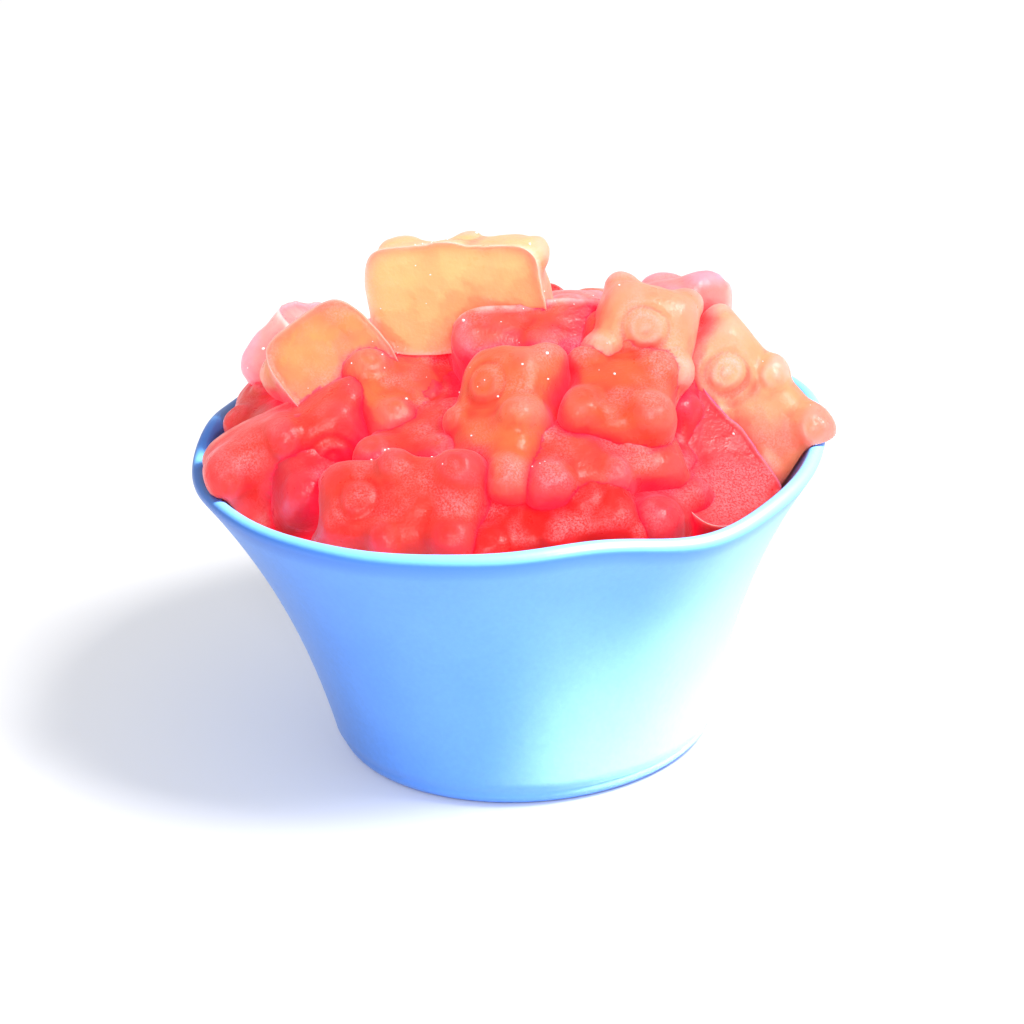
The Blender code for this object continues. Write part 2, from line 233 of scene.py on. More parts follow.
# Soft light: how bright the room is, then each lamp's place, target, size, power and colour
ROOM_LIGHT = 0.62
KEY_LAMP = ((0.45, -0.25, 0.72), (0.0, 0.0, 0.03), 0.25, 6.0, (1.0, 0.98, 0.97))
FRONT_LAMP = ((-0.15, -0.80, 0.55), (0.0, 0.0, 0.03), 0.22, 3.6, (1.0, 0.98, 0.98))
SIDE_LAMP = ((0.60, -0.27, 0.74), (0.0, 0.0, 0.02), 0.14, 138.0, (1.0, 0.58, 0.26))
LOW_LAMP = ((0.36, -0.80, 0.28), (0.0, 0.0, 0.02), 0.3, 7.5, (1.0, 1.0, 1.0))
FLOOR_HALF = 3.0

# The camera, from the photo: distance, roll, lens and shift, with the tilt that is given above
CAMERA_DISTANCE = 0.749
CAMERA_ROLL = math.radians(3.15)
CAMERA_LENS = 220.8
CAMERA_SHIFT = (-0.0068, 0.0736)
CAMERA_CLIP = (0.05, 20.0)


def wall_radius(height):
    """Outer radius of the bowl at a share of its height."""
    flare = RIM_RADIUS - BASE_RADIUS - WALL_SPREAD
    return BASE_RADIUS + WALL_SPREAD * height + flare * np.maximum(height, 0.0) ** FLARE_POWER


def wall_slope(height):
    """How far the wall leans out for each mm it rises."""
    flare = RIM_RADIUS - BASE_RADIUS - WALL_SPREAD
    return (WALL_SPREAD + flare * FLARE_POWER * max(height, 0.0) ** (FLARE_POWER - 1)) / BOWL_HEIGHT


def wall_point(height, inset):
    """A point of the bowl's side, moved inwards from its outer face by inset."""
    slope = wall_slope(height)
    length = math.hypot(1.0, slope)
    return (float(wall_radius(height)) - inset / length, height * BOWL_HEIGHT + inset * slope / length)


def petal_wave(angle):
    """Sawtooth of the petals, softened by using only its first few waves."""
    total = 0.0
    for wave in range(1, PETAL_HARMONICS + 1):
        weight = (1.0 - wave / (PETAL_HARMONICS + 1.5)) / wave
        total = total + weight * np.sin(wave * PETALS * (angle - PETAL_NOTCH))
    return total


def far_share(angle):
    """How much of the far side's plainer rim shows at an angle: 0 in front, 1 behind."""
    share = np.clip((np.sin(angle) - BACK_START) / (BACK_FULL - BACK_START), 0.0, 1.0)
    return share * share * (3.0 - 2.0 * share)


def swept(points):
    """Draw turned points in and up along each petal, more so towards the rim."""
    points = np.array(points, float)
    radius = np.hypot(points[:, 0], points[:, 1])
    share = np.clip((points[:, 2] - FLOOR) / (BOWL_HEIGHT - FLOOR), 0.0, 1.0)
    share[radius < STILL_RADIUS] = 0.0
    reach = np.minimum(radius / BASE_RADIUS, 1.0)
    angle = np.arctan2(points[:, 1], points[:, 0])
    far = far_share(angle)
    wave = petal_wave(angle) * reach * (1.0 - far)
    grown = 1.0 + PETAL_RADIAL * wave * share / np.maximum(radius, 1.0)
    points[:, 0] *= grown
    points[:, 1] *= grown
    points[:, 2] -= (PETAL_RISE * wave + BACK_DIP * far * reach) * share
    return points


def arc(centre, radius, start, end, steps):
    """Points of an arc in the radius and height plane, angles in degrees."""
    points = []
    for index in range(steps + 1):
        angle = math.radians(start + (end - start) * index / steps)
        points.append((centre[0] + radius * math.cos(angle), centre[1] + radius * math.sin(angle)))
    return points


def bowl_profile():
    """Half section of the bowl, up its inside, over the lip and down to its base."""
    corner = (wall_point(INNER_LOW, WALL)[0] - INNER_ROUND, FLOOR + INNER_ROUND)
    centre = wall_point(1.0, WALL / 2)
    edge = wall_point(1.0, 0.0)
    outward = math.degrees(math.atan2(edge[1] - centre[1], edge[0] - centre[0]))
    points = [(radius, FLOOR) for radius in (0.0, 4.0, 8.0, 12.0)]
    points += arc(corner, INNER_ROUND, -90, -20, BOWL_ARC_STEPS)
    for index in range(BOWL_WALL_STEPS + 1):
        rise = INNER_TOP - INNER_LOW - INNER_STEP
        height = INNER_LOW + INNER_STEP + rise * index / BOWL_WALL_STEPS
        points.append(wall_point(height, WALL))
    points += arc(centre, WALL / 2, outward + 165, outward + 10, BOWL_ARC_STEPS)
    for index in range(BOWL_WALL_STEPS + 1):
        height = OUTER_TOP - (OUTER_TOP - OUTER_LOW) * index / BOWL_WALL_STEPS
        points.append(wall_point(height, 0.0))
    points += arc((BASE_RADIUS - FOOT_ROUND, FOOT_ROUND), FOOT_ROUND, 0, -90, BOWL_ARC_STEPS)
    points += [(radius, 0.0) for radius in (16.0, 8.0, 0.0)]
    return points


def core_profile():
    """Half section of the dark core that fills the bowl under the bears."""
    inset = WALL + CORE_GAP
    top = CORE_TOP / BOWL_HEIGHT
    edge = wall_point(top, inset)
    points = []
    for index in range(CORE_RINGS):
        share = index / CORE_RINGS
        points.append((edge[0] * share, edge[1] + CORE_DOME * (1.0 - share ** 2)))
    for index in range(CORE_WALL_STEPS + 1):
        drop = INNER_LOW + CORE_STEP - top
        points.append(wall_point(top + drop * index / CORE_WALL_STEPS, inset))
    corner = (wall_point(INNER_LOW, inset)[0] - INNER_ROUND + CORE_GAP, FLOOR + INNER_ROUND)
    points += arc(corner, INNER_ROUND - CORE_GAP, -20, -90, 4)
    points.append((0.0, FLOOR + CORE_GAP))
    return points


def turned(profile, steps):
    """Turn a half section about +Z: points and faces of a closed mesh."""
    points = []
    rings = []
    for radius, height in profile:
        if radius < 0.001:
            rings.append([len(points)])
            points.append((0.0, 0.0, height))
            continue
        rings.append(list(range(len(points), len(points) + steps)))
        for index in range(steps):
            angle = math.tau * index / steps
            points.append((radius * math.cos(angle), radius * math.sin(angle), height))
    faces = []
    for upper, lower in zip(rings, rings[1:]):
        for index in range(steps):
            after = (index + 1) % steps
            if len(upper) == 1:
                faces.append((upper[0], lower[index], lower[after]))
            elif len(lower) == 1:
                faces.append((upper[after], upper[index], lower[0]))
            else:
                faces.append((upper[after], upper[index], lower[index], lower[after]))
    return swept(points), faces


def add_lump(bm, centre, half, squareness):
    """Add one rounded lump: a sphere pushed towards a box by its squareness."""
    made = bmesh.ops.create_icosphere(bm, subdivisions=FINENESS, radius=1.0)
    for vertex in made["verts"]:
        unit = vertex.co.normalized()
        total = sum(abs(value) ** squareness for value in unit)
        push = total ** (-1.0 / squareness)
        for axis in range(3):
            vertex.co[axis] = centre[axis] + unit[axis] * push * half[axis]


def smooth_step(low, high, value):
    """0 below low, 1 above high and a smooth ramp between them."""
    share = np.clip((value - low) / (high - low), 0.0, 1.0)
    return share * share * (3.0 - 2.0 * share)


def ring_relief(reach, rings):
    """How far the rings about a spot stand out at a distance from it."""
    height, spacing, fade, end = rings
    return height * np.cos(math.tau * reach / spacing) * (1.0 - smooth_step(fade, end, reach))


def bear_mesh():
    """One bear in mm with fine soft relief, its middle at the origin: its points, its faces and how
    near each point lies to the edge of its flat back.
    """
    bm = bmesh.new()
    for centre, half, squareness in BEAR_LUMPS:
        add_lump(bm, centre, half, squareness)
    for centre, half, squareness in BEAR_PAIRS:
        for side in (-1.0, 1.0):
            add_lump(bm, (side * centre[0], centre[1], centre[2]), half, squareness)
    rough = bpy.data.meshes.new("bear_lumps")
    bm.to_mesh(rough)
    bm.free()

    # The lumps are fused and softened
    bear = bpy.data.objects.new("bear_lumps", rough)
    bpy.context.scene.collection.objects.link(bear)
    remesh = bear.modifiers.new("fuse", "REMESH")
    remesh.mode = "VOXEL"
    remesh.voxel_size = VOXEL
    smooth = bear.modifiers.new("soften", "SMOOTH")
    smooth.factor = 0.5
    smooth.iterations = SOFTENING
    depsgraph = bpy.context.evaluated_depsgraph_get()
    fused = bpy.data.meshes.new_from_object(bear.evaluated_get(depsgraph))
    points = np.array([vertex.co[:] for vertex in fused.vertices])
    faces = [tuple(face.vertices) for face in fused.polygons]
    bpy.data.objects.remove(bear, do_unlink=True)
    bpy.data.meshes.remove(fused)
    bpy.data.meshes.remove(rough)

    # The back is cut flat and dished, with a faint raised edge, as the gel set in its mould
    across, depth, tall = points.T
    behind = depth.copy()
    depth[behind > 0.0] = 0.0
    ridge = smooth_step(*RIDGE_RISE, behind) * (1.0 - smooth_step(*RIDGE_FALL, behind))
    depth += BACK_RIDGE * ridge - BACK_DISH * smooth_step(*DISH_RAMP, behind)

    # Rings round the snout, and a small ring on each paw
    reach = np.hypot(across - SNOUT[0], (tall - SNOUT[1]) * SNOUT_STRETCH)
    front = smooth_step(*FRONT_RAMP, -depth)
    depth -= front * ring_relief(reach, SNOUT_RINGS)
    for spot in PAW_SPOTS:
        reach = np.hypot(across - spot[0], tall - spot[1])
        depth -= front * ring_relief(reach, PAW_RINGS)
    points = np.stack((across, depth + BEAR_DEPTH / 2, tall - BEAR_LENGTH / 2), axis=1)
    edge = smooth_step(*EDGE_RISE, behind) * (1.0 - smooth_step(*EDGE_FALL, behind))
    return points, faces, edge


def pose_matrix(place, head, front):
    """Place a bear by its middle, the way its head points and the way its front faces."""
    up = head.normalized()
    back = -(front - up * front.dot(up)).normalized()
    side = back.cross(up)
    turn = Matrix((side, back, up)).transposed()
    return Matrix.Translation(place) @ turn.to_4x4()


def from_sight(vector):
    """Turn (across, up, near), as seen from in front, into the part's own axes."""
    across, up, near = vector
    y = up * math.sin(SIGHT_TILT) - near * math.cos(SIGHT_TILT)
    z = up * math.cos(SIGHT_TILT) + near * math.sin(SIGHT_TILT)
    return Vector((across, y, z))


def all_poses():
    """Every bear as (kind, how pale it is, matrix)."""
    poses = []
    for _name, kind, pale, place, head, front in FRONT_BEARS:
        matrix = pose_matrix(SIGHT_CENTRE + from_sight(place), from_sight(head), from_sight(front))
        poses.append((kind, pale, matrix))
    draw = random.Random(SEED)
    shades = random.Random(SEED + 2)
    for radius, height, first, last, count, head, front in BACK_RINGS:
        for index in range(count):
            angle = math.radians(first + (last - first) * index / (count - 1))
            outward = Vector((math.cos(angle), math.sin(angle), 0.0))
            along = Vector((-outward.y, outward.x, 0.0))
            up = Vector((0.0, 0.0, 1.0))
            turned_to = []
            for direction in (head, front):
                tumbled = [value + draw.uniform(-BACK_TUMBLE, BACK_TUMBLE) for value in direction]
                flip = draw.choice((-1.0, 1.0))
                turned_to.append((along * tumbled[0] + outward * tumbled[1] + up * tumbled[2]) * flip)
            spot = outward * radius + Vector((0.0, 0.0, height))
            kind = BACK_KINDS[len(poses) - len(FRONT_BEARS)]
            pale = shades.uniform(*BACK_PALE)
            poses.append((kind, pale, pose_matrix(spot, turned_to[0], turned_to[1])))
    return poses


def uneven(points, seed):
    """Soft unevenness of one bear: a slight bend, a slight twist and shallow swells, in mm."""
    draw = random.Random(seed)
    bend = draw.uniform(-BEND, BEND)
    twist = draw.uniform(-TWIST, TWIST)
    across, depth, tall = points.T
    share = tall / (BEAR_LENGTH / 2)
    turn = twist * share
    moved = np.empty_like(points)
    moved[:, 0] = across * np.cos(turn) - depth * np.sin(turn)
    moved[:, 1] = across * np.sin(turn) + depth * np.cos(turn) + bend * (share ** 2 - 0.4)
    moved[:, 2] = tall
    shift = Vector((draw.uniform(-50, 50), draw.uniform(-50, 50), draw.uniform(-50, 50)))
    middle = moved.mean(axis=0)
    outward = moved - middle
    outward /= np.linalg.norm(outward, axis=1)[:, None]
    swell = np.array([
        sum(height * noise.noise(Vector(point) / width + shift) for height, width in SWELLS)
        for point in moved
    ])
    return moved + outward * swell[:, None]


def keep_inside(points):
    """Press points that would enter the bowl's wall back inside it, or up onto its lip."""
    angle = np.arctan2(points[:, 1], points[:, 0])
    radius = np.hypot(points[:, 0], points[:, 1])
    far = far_share(angle)
    wave = petal_wave(angle) * (1.0 - far)
    lift = -(PETAL_RISE * wave + BACK_DIP * far)
    share = np.clip((points[:, 2] - FLOOR) / (BOWL_HEIGHT - FLOOR), 0.0, 1.0)
    height = np.clip((points[:, 2] - lift * share) / BOWL_HEIGHT, 0.0, 1.03)
    flare = RIM_RADIUS - BASE_RADIUS - WALL_SPREAD
    slope = (WALL_SPREAD + flare * FLARE_POWER * height ** (FLARE_POWER - 1)) / BOWL_HEIGHT
    inner = wall_radius(height) - (WALL + GAP) * np.sqrt(1.0 + slope ** 2) + PETAL_RADIAL * wave * share
    top = BOWL_HEIGHT + LIP_OVER + GAP + lift
    into = radius - inner
    below = top - points[:, 2]
    hit = (into > 0.0) & (below > 0.0)
    inwards = hit & (into * IN_SHARE < below)
    upwards = hit & ~inwards
    moved = points.copy()
    scale = inner[inwards] / radius[inwards]
    moved[inwards, 0] *= scale
    moved[inwards, 1] *= scale
    moved[upwards, 2] = top[upwards]
    return moved


def vertex_normals(points, triangles):
    """Unit normals of the points of a triangle mesh."""
    corners = points[triangles]
    normal = np.cross(corners[:, 1] - corners[:, 0], corners[:, 2] - corners[:, 0])
    total = np.zeros_like(points)
    for corner in range(3):
        np.add.at(total, triangles[:, corner], normal)
    return total / np.maximum(np.linalg.norm(total, axis=1), 1e-12)[:, None]


def bulge(points, faces, normals):
    """How far each point stands out of the form round it, in mm: less than 0 in a crease."""
    ends = np.array([(face[index - 1], corner) for face in faces for index, corner in enumerate(face)])
    count = np.zeros(len(points))
    np.add.at(count, ends[:, 0], 1.0)
    np.add.at(count, ends[:, 1], 1.0)
    blurred = points.copy()
    for _ in range(BLURS):
        total = np.zeros_like(points)
        np.add.at(total, ends[:, 0], blurred[ends[:, 1]])
        np.add.at(total, ends[:, 1], blurred[ends[:, 0]])
        blurred = total / count[:, None]
    return ((points - blurred) * normals).sum(axis=1)


def ray_directions(count):
    """Directions spread evenly over the half sphere about +Z, denser near the pole."""
    rays = []
    for index in range(count):
        spread = math.sqrt((index + 0.5) / count)
        angle = index * GOLDEN_TURN
        rays.append((spread * math.cos(angle), spread * math.sin(angle), math.sqrt(1.0 - spread ** 2)))
    return rays


def make_piece(name, points, faces, material, attributes=None):
    """A smooth mesh piece in metres that rides on the root, with named numbers on its points."""
    mesh = bpy.data.meshes.new(name)
    mesh.from_pydata((np.asarray(points) * MM).tolist(), [], faces)
    for key, values in (attributes or {}).items():
        layer = mesh.attributes.new(key, "FLOAT", "POINT")
        layer.data.foreach_set("value", np.asarray(values, np.float32))
    mesh.materials.append(material)
    mesh.shade_smooth()
    mesh.validate()
    piece = bpy.data.objects.new(name, mesh)
    bpy.context.scene.collection.objects.link(piece)
    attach(piece, "root")
    return piece


class Nodes:
    """Short calls for building one material's nodes."""

    def __init__(self, name):
        self.material = bpy.data.materials.new(name)
        self.material.use_nodes = True
        self.tree = self.material.node_tree
        self.shader = self.tree.nodes["Principled BSDF"]

    def add(self, kind, inputs=None, **settings):
        """Add a node with its inputs, each a number, a colour or another node's output."""
        node = self.tree.nodes.new(kind)
        for key, value in settings.items():
            setattr(node, key, value)
        for key, value in (inputs or {}).items():
            self.put(node.inputs[key], value)
        return node

    def put(self, socket, value):
        """Link a value to an input, or write it there."""
        if isinstance(value, bpy.types.NodeSocket):
            self.tree.links.new(value, socket)
        else:
            socket.default_value = value

    def attribute(self, name):
        """A named number of the mesh's points."""
        return self.add("ShaderNodeAttribute", attribute_name=name).outputs["Fac"]

    def spread(self, value, low, high, to_low=0.0, to_high=1.0):
        """The value moved from one range to another and held inside it."""
        node = self.add("ShaderNodeMapRange", {0: value, 1: low, 2: high, 3: to_low, 4: to_high})
        return node.outputs[0]

    def math(self, operation, first, second=0.5):
        """One step of arithmetic."""
        return self.add("ShaderNodeMath", {0: first, 1: second}, operation=operation).outputs[0]

    def mix(self, factor, first, second, blend="MIX"):
        """A blend of two colours."""
        node = self.add("ShaderNodeMix", data_type="RGBA", blend_type=blend)
        self.put(node.inputs[0], factor)
        self.put(node.inputs[6], first)
        self.put(node.inputs[7], second)
        return node.outputs[2]

    def tint(self, shade, red, green, blue):
        """The shade with its three parts multiplied."""
        factors = self.add("ShaderNodeCombineColor", {0: red, 1: green, 2: blue}).outputs[0]
        return self.mix(1.0, shade, factors, "MULTIPLY")

    def noise(self, scale, detail=3.0, roughness=0.5):
        """Noise in the object's own coordinates, from 0 to 1."""
        place = self.add("ShaderNodeTexCoord").outputs["Object"]
        node = self.add("ShaderNodeTexNoise", {"Vector": place, "Scale": scale, "Detail": detail,
                                               "Roughness": roughness})
        return node.outputs[0]

    def height(self):
        """Height above the table in metres."""
        place = self.add("ShaderNodeTexCoord").outputs["Object"]
        return self.add("ShaderNodeSeparateXYZ", {0: place}).outputs[2]

    def set(self, **values):
        """Write the shader's own inputs, with _ for each space in a name."""
        for key, value in values.items():
            self.put(self.shader.inputs[key.replace("_", " ")], value)


def rgb(colour):
    """A colour with full alpha."""
    return (*colour, 1.0)


def gel_material(kind):
    """Cloudy gel with painted shade where light is shut out and a painted glow where it is thin."""
    colour, paling, cloudy = KINDS[kind]
    nodes = Nodes("gel_" + kind)

    # The shades the gel's own colour is painted to: painted shade where light is shut in and in a crease,
    # painted glow where thin, and a painted highlight at its rim
    deep = (0.84 * colour[0], 0.004 + 0.06 * colour[1] + 0.9 * colour[1] ** 2, 0.04 + 0.3 * colour[2])
    painted_crease_shade = (colour[0], 0.45 * colour[1], 0.55 * colour[2])
    glow = (1.0, min(0.43, colour[1] * 1.08 + 0.055), colour[2] * 1.6 + 0.12)
    painted_rim_highlight = (1.0, 0.70, 0.68)

    # Painted shade: deeper where other bears are near and in its own creases
    open_to_light = nodes.attribute("open")
    bulging = nodes.attribute("bulge")
    shade = nodes.mix(nodes.spread(open_to_light, 0.34, 0.92), rgb(deep), rgb(colour))
    close = nodes.spread(nodes.attribute("close"), 0.12, 0.6, 0.0, 0.85)
    shade = nodes.mix(close, shade, rgb(deep))
    hollow = nodes.spread(bulging, 0.0, -0.12, 0.0, 0.85)
    shade = nodes.mix(hollow, shade, rgb(painted_crease_shade))

    # Painted light: paler where it is thin or stands out, a painted glow as if light shone through the
    # gel, and a painted highlight along the edge of its flat back
    cloud = nodes.spread(nodes.noise(260.0, 3.0, 0.6), 0.35, 0.7)
    raised = nodes.spread(bulging, 0.10, 0.34)
    pale = nodes.math("MAXIMUM", nodes.spread(nodes.attribute("thin"), 0.3, 0.9), raised)
    lit = nodes.math("MULTIPLY", pale, nodes.spread(cloud, 0.0, 1.0, 0.55, 1.0))
    shade = nodes.mix(nodes.math("MULTIPLY", lit, paling), shade, rgb(glow))
    broken = nodes.spread(nodes.noise(420.0, 2.0), 0.40, 0.60, 0.1, 0.8)
    rim = nodes.math("MULTIPLY", nodes.attribute("edge"), broken)
    shade = nodes.mix(nodes.math("MULTIPLY", rim, paling), shade, rgb(painted_rim_highlight))

    # Each bear's tone, cloudy drifts, and painted shade that darkens it down towards the bowl
    tone = nodes.attribute("tone")
    shade = nodes.tint(shade, 1.0, tone, tone)
    drift = nodes.spread(nodes.noise(170.0, 3.0, 0.55), 0.32, 0.68, 1.0 - cloudy, 1.0 + cloudy)
    half_drift = nodes.spread(drift, 0.0, 2.0, 0.5, 1.5)
    painted_low_shade = nodes.spread(nodes.height(), 0.035, 0.047, 0.45, 1.0)
    drift = nodes.math("MULTIPLY", drift, painted_low_shade)
    half_drift = nodes.math("MULTIPLY", half_drift, painted_low_shade)
    shade = nodes.tint(shade, 1.0, drift, half_drift)

    # Painted highlight: fine pinkish grain in patches on the faces that look up towards the light
    upward = nodes.spread(nodes.attribute("sky"), 0.5, 0.92)
    patch = nodes.math("MULTIPLY", nodes.spread(nodes.noise(150.0, 2.0), 0.46, 0.62), upward)
    crackle = nodes.spread(nodes.noise(4200.0, 3.0, 0.7), 0.40, 0.62)
    painted_highlight_grain = nodes.math("MULTIPLY", nodes.math("MULTIPLY", patch, crackle), 0.22)
    shade = nodes.mix(painted_highlight_grain, shade, rgb((1.0, 0.58, 0.66)))

    # Painted light: a faint emitted glow that stands in for light inside the gel, deep red where it is
    # shut in
    shut_in = (0.90, 0.004 + 0.05 * colour[1], 0.03)
    lit_glow = nodes.mix(0.62, shade, rgb((0.0, 0.0, 0.0)))
    inner = nodes.mix(nodes.spread(open_to_light, 0.15, 0.75), rgb(shut_in), lit_glow)
    inner = nodes.mix(close, inner, rgb(shut_in))

    # A finely uneven face, duller in the patches of painted highlight grain
    fine = nodes.noise(2600.0, 2.0, 0.6)
    soft = nodes.noise(700.0, 2.0, 0.5)
    height = nodes.math("ADD", nodes.math("MULTIPLY", fine, 0.5), soft)
    bump = nodes.add("ShaderNodeBump", {"Strength": 0.6, "Distance": 0.00016, "Height": height})
    sheen = nodes.spread(nodes.noise(330.0, 3.0, 0.6), 0.3, 0.7, 0.24, 0.42)
    rough = nodes.math("ADD", sheen, nodes.math("MULTIPLY", patch, 0.25))
    nodes.set(Base_Color=shade, Roughness=rough, Normal=bump.outputs[0], IOR=1.40,
              Subsurface_Weight=0.8, Subsurface_Radius=(1.0, 0.45, 0.35), Subsurface_Scale=0.005,
              Specular_IOR_Level=0.5, Sheen_Weight=0.22, Sheen_Roughness=0.45,
              Sheen_Tint=(1.0, 0.62, 0.74, 1.0), Emission_Color=inner, Emission_Strength=0.5)
    return nodes.material


def core_material():
    """Deep crimson gel of the bears further in, darkened as painted shade, with a painted emitted glow."""
    nodes = Nodes("gel_deep")
    cloud = nodes.spread(nodes.noise(180.0), 0.35, 0.65)
    shade = nodes.mix(cloud, rgb((0.62, 0.006, 0.035)), rgb((0.78, 0.016, 0.05)))
    nodes.set(Base_Color=shade, Roughness=0.4, Subsurface_Weight=0.6,
              Subsurface_Radius=(1.0, 0.3, 0.2), Subsurface_Scale=0.004,
              Emission_Color=(0.90, 0.004, 0.03, 1.0), Emission_Strength=0.5)
    return nodes.material


def glaze_material():
    """Satin pale blue glaze with a faint grain, and painted shade at the lip."""
    nodes = Nodes("pale_blue_glaze")
    cloud = nodes.spread(nodes.noise(60.0, 3.0), 0.3, 0.7)
    shade = nodes.mix(cloud, rgb((0.086, 0.28, 0.82)), rgb((0.105, 0.315, 0.88)))
    grain = nodes.spread(nodes.noise(1500.0, 2.0, 0.7), 0.3, 0.7, 0.95, 1.03)
    shade = nodes.tint(shade, grain, grain, grain)
    # Painted shade: a deeper blue just under the lip's top
    shade = nodes.mix(nodes.math("MULTIPLY", nodes.attribute("lip"), 0.9), shade, rgb((0.035, 0.19, 0.70)))
    bump = nodes.add("ShaderNodeBump", {"Strength": 0.12, "Distance": 0.0002,
                                        "Height": nodes.noise(900.0, 3.0)})
    nodes.set(Base_Color=shade, Roughness=0.42, Normal=bump.outputs[0], IOR=1.5,
              Coat_Weight=0.25, Coat_Roughness=0.18)
    return nodes.material


def speck_material():
    """Sugar grains: bright, hard and glossy."""
    nodes = Nodes("sugar_grain")
    cloud = nodes.spread(nodes.noise(900.0), 0.4, 0.6)
    shade = nodes.mix(cloud, rgb((0.95, 0.86, 0.88)), rgb((1.0, 1.0, 1.0)))
    nodes.set(Base_Color=shade, Roughness=0.12, IOR=1.5)
    return nodes.material


def floor_material():
    """Plain pale floor."""
    nodes = Nodes("pale_floor")
    cloud = nodes.spread(nodes.noise(8.0), 0.3, 0.7)
    shade = nodes.mix(cloud, rgb((0.93, 0.93, 0.93)), rgb((0.95, 0.95, 0.95)))
    nodes.set(Base_Color=shade, Roughness=0.7)
    return nodes.material


def to_triangles(faces):
    """The triangles of a mesh whose faces have four corners."""
    corners = np.array([face for face in faces if len(face) == 4])
    return np.concatenate((corners[:, [0, 1, 2]], corners[:, [0, 2, 3]]))


def shaped_bears(points):
    """Every bear in its place, uneven and kept out of the bowl's wall, as (kind, how pale, points)."""
    bears = []
    for index, (kind, pale, matrix) in enumerate(all_poses()):
        turn = np.array(matrix.to_3x3())
        shaped = uneven(points, SEED + 31 * index)
        placed = keep_inside(shaped @ turn.T + np.array(matrix.translation))
        bears.append((kind, pale, placed))
    return bears


def aimed(rays, direction):
    """The rays, turned from +Z to a direction."""
    frame = direction.to_track_quat("Z", "Y").to_matrix()
    return [frame @ Vector(ray) for ray in rays]


def thinness(points, faces, normals, rays):
    """How thin the bear is under each point, from 0 to 1."""
    tree = BVHTree.FromPolygons(points.tolist(), faces)
    thin = np.empty(len(points))
    for index, (point, normal) in enumerate(zip(points, normals)):
        inward = -Vector(normal)
        start = Vector(point) + inward * START_INSIDE
        total = 0.0
        for ray in aimed(rays, inward):
            depth = tree.ray_cast(start, ray)[3]
            total += THICK_REACH if depth is None else min(depth, THICK_REACH)
        thin[index] = 1.0 - min(total / len(rays) / THIN_DEPTH, 1.0)
    return thin


def openness(points, normals, rays, tree):
    """For each point, the share of rays that leave the heap and the share that soon meet it."""
    opened = []
    close = []
    for point, normal in zip(points, normals):
        direction = Vector(normal)
        start = Vector(point) + direction * START_OUTSIDE
        free = 0
        shut = 0
        for ray in aimed(rays, direction):
            reach = tree.ray_cast(start, ray, LIGHT_REACH)[3]
            if reach is None:
                free += 1
            elif reach < TOUCH_REACH:
                shut += 1
        opened.append(free / len(rays))
        close.append(shut / len(rays))
    return opened, close


def heap_tree(core_points, core_faces, bears, faces):
    """All of the heap, core and bears, ready for ray casting."""
    every_point = [core_points] + [placed for _kind, _pale, placed in bears]
    every_face = list(core_faces)
    offset = len(core_points)
    for _kind, _pale, placed in bears:
        every_face += [tuple(corner + offset for corner in face) for face in faces]
        offset += len(placed)
    return BVHTree.FromPolygons(np.concatenate(every_point).tolist(), every_face)


def make_bears():
    """All the bears, joined into one piece for each kind, and the core under them."""
    points, faces, edge = bear_mesh()
    triangles = to_triangles(faces)
    normals = vertex_normals(points, triangles)
    rays = ray_directions(RAYS)
    thin = thinness(points, faces, normals, rays)
    stand_out = bulge(points, faces, normals)
    bears = shaped_bears(points)
    core_points, core_faces = turned(core_profile(), CORE_TURN_STEPS)
    tree = heap_tree(core_points, core_faces, bears, faces)

    for kind in KINDS:
        chosen = [(pale, placed) for other, pale, placed in bears if other == kind]
        joined_faces = []
        opened = []
        close = []
        sky = []
        tone = []
        for count, (pale, placed) in enumerate(chosen):
            joined_faces += [tuple(corner + count * len(points) for corner in face) for face in faces]
            tone.append(np.full(len(points), pale))
            outward = vertex_normals(placed, triangles)
            sky.append(outward @ np.array(SKY))
            light = openness(placed, outward, rays, tree)
            opened += light[0]
            close += light[1]
        joined = np.concatenate([placed for _pale, placed in chosen])
        piece = make_piece("bears_" + kind, joined, joined_faces, gel_material(kind), {
            "open": opened,
            "close": close,
            "thin": np.tile(thin, len(chosen)),
            "edge": np.tile(edge, len(chosen)),
            "bulge": np.tile(stand_out, len(chosen)),
            "sky": np.concatenate(sky),
            "tone": np.concatenate(tone),
        })
        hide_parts("gummy_bears")
    core = make_piece("bears_core", core_points, core_faces, core_material())
    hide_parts("gummy_bears")
    return tree


def make_specks(tree):
    """Grains of sugar scattered on the top of the heap."""
    draw = random.Random(SEED + 1)
    points = []
    faces = []
    placed = 0
    while placed < SPECKS:
        angle = draw.uniform(0.0, math.tau)
        reach = SPECK_REACH * math.sqrt(draw.random())
        start = Vector((reach * math.cos(angle), reach * math.sin(angle), SPECK_START))
        lean = Vector((draw.uniform(*SPECK_LEAN[0]), draw.uniform(*SPECK_LEAN[1]), -1.0)).normalized()
        spot, normal, _index, _far = tree.ray_cast(start - lean * 10.0, lean)
        if spot is None or spot.z < SPECK_LOWEST:
            continue
        size = SPECK_SIZE[0] + (SPECK_SIZE[1] - SPECK_SIZE[0]) * draw.random() ** 2
        bm = bmesh.new()
        bmesh.ops.create_icosphere(bm, subdivisions=1, radius=size)
        turn = Matrix.Rotation(draw.uniform(0, math.tau), 3, Vector((draw.random(), draw.random(), 1.0)))
        for vertex in bm.verts:
            x, y, z = vertex.co
            vertex.co = turn @ Vector((x, y * draw.uniform(*SPECK_STRETCH), z * SPECK_FLAT))
            vertex.co += spot + normal * size * SPECK_OUT
        faces += [tuple(vertex.index + len(points) for vertex in face.verts) for face in bm.faces]
        points += [vertex.co[:] for vertex in bm.verts]
        bm.free()
        placed += 1
    piece = make_piece("sugar_grains", points, faces, speck_material())
    piece.data.shade_flat()


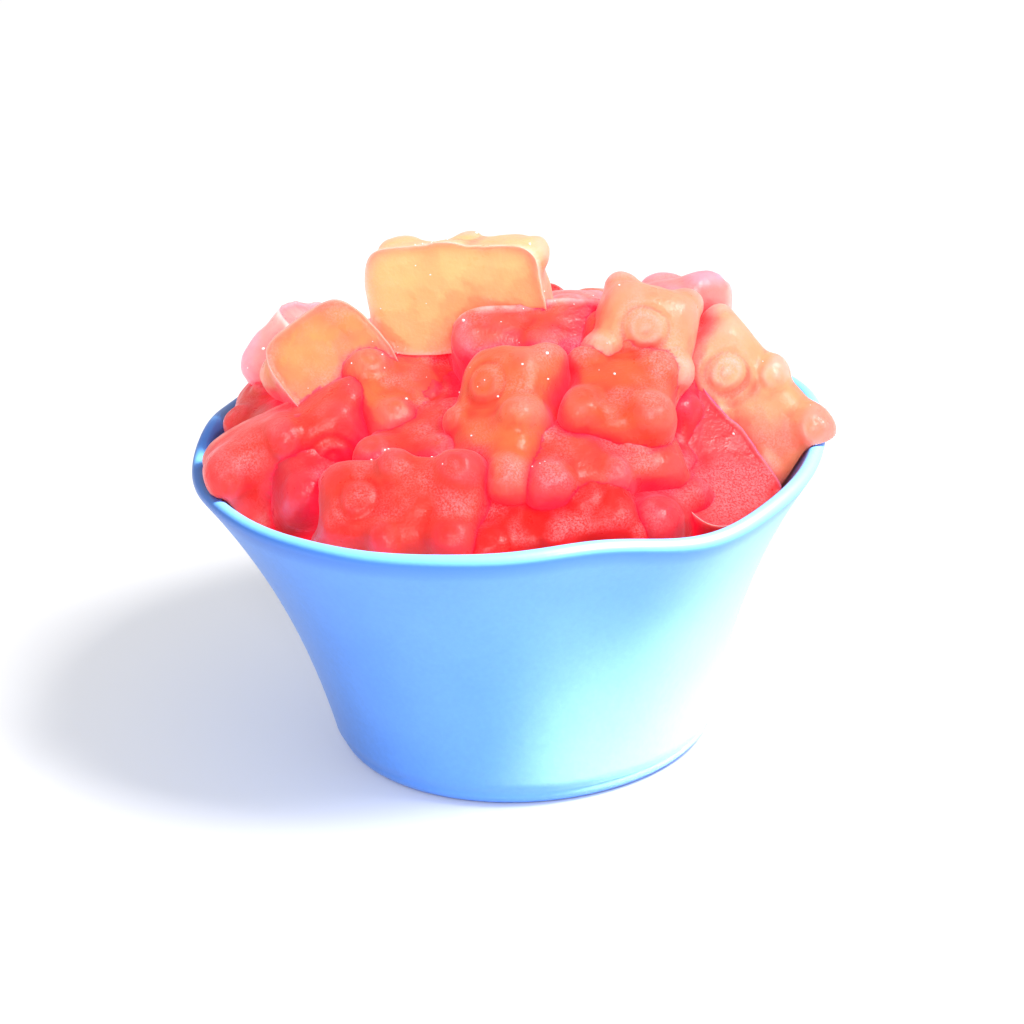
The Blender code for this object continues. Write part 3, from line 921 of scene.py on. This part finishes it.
def make_bowl():
    """The fine glazed bowl."""
    points, faces = turned(bowl_profile(), BOWL_TURN_STEPS)
    # Painted shade: points just under the lip's top get a deeper blue
    top = BOWL_HEIGHT - PETAL_RISE * petal_wave(np.arctan2(points[:, 1], points[:, 0]))
    lip = smooth_step(*LIP_SHADE_DEPTHS, points[:, 2] - top)
    piece = make_piece("bowl_glazed", points, faces, glaze_material(), {"lip": lip})
    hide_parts("bowl")
    return piece


def make_floor():
    """A plain pale floor."""
    mesh = bpy.data.meshes.new("floor")
    half = FLOOR_HALF
    corners = [(-half, -half, 0), (half, -half, 0), (half, half, 0), (-half, half, 0)]
    mesh.from_pydata(corners, [], [(0, 1, 2, 3)])
    mesh.materials.append(floor_material())
    floor = bpy.data.objects.new("floor", mesh)
    bpy.context.scene.collection.objects.link(floor)


def add_light(name, place, target, size, power, colour):
    """A square soft light that faces its target."""
    light = bpy.data.lights.new(name, "AREA")
    light.shape = "SQUARE"
    light.size = size
    light.energy = power
    light.color = colour
    lamp = bpy.data.objects.new(name, light)
    view = Vector(target) - Vector(place)
    turn = view.to_track_quat("-Z", "Y").to_matrix().to_4x4()
    lamp.matrix_world = Matrix.Translation(place) @ turn
    bpy.context.scene.collection.objects.link(lamp)
    return lamp


def make_lights(bowl):
    """Plain soft studio light, the brightest from the upper right, and two lamps for the bowl alone."""
    scene = bpy.context.scene
    world = bpy.data.worlds.new("studio")
    scene.world = world
    world.use_nodes = True
    back = world.node_tree.nodes["Background"]
    back.inputs["Color"].default_value = (1.0, 1.0, 1.0, 1.0)
    back.inputs["Strength"].default_value = ROOM_LIGHT
    add_light("key", *KEY_LAMP)
    front = add_light("front", *FRONT_LAMP)
    not_lit = bpy.data.collections.new("not_lit_by_front")
    not_lit.objects.link(bowl)
    not_lit.collection_objects[0].light_linking.link_state = "EXCLUDE"
    front.light_linking.receiver_collection = not_lit
    lit = bpy.data.collections.new("lit_by_side")
    lit.objects.link(bowl)
    for name, lamp in (("side", SIDE_LAMP), ("low", LOW_LAMP)):
        add_light(name, *lamp).light_linking.receiver_collection = lit


def make_camera():
    """The photo's own view."""
    scene = bpy.context.scene
    camera = bpy.data.objects.new("camera", bpy.data.cameras.new("camera"))
    scene.collection.objects.link(camera)
    camera.data.lens = CAMERA_LENS
    camera.data.shift_x, camera.data.shift_y = CAMERA_SHIFT
    camera.data.clip_start, camera.data.clip_end = CAMERA_CLIP
    view = Vector((0.0, math.cos(SIGHT_TILT), -math.sin(SIGHT_TILT)))
    place = SIGHT_CENTRE * MM - view * CAMERA_DISTANCE
    turn = view.to_track_quat("-Z", "Y").to_matrix().to_4x4()
    camera.matrix_world = Matrix.Translation(place) @ turn @ Matrix.Rotation(-CAMERA_ROLL, 4, "Z")
    scene.camera = camera


def main():
    """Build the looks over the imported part."""
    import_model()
    scene = bpy.context.scene
    scene.view_settings.view_transform = "Standard"
    scene.cycles.use_denoising = True
    tree = make_bears()
    make_specks(tree)
    bowl = make_bowl()
    make_floor()
    make_lights(bowl)
    make_camera()


main()
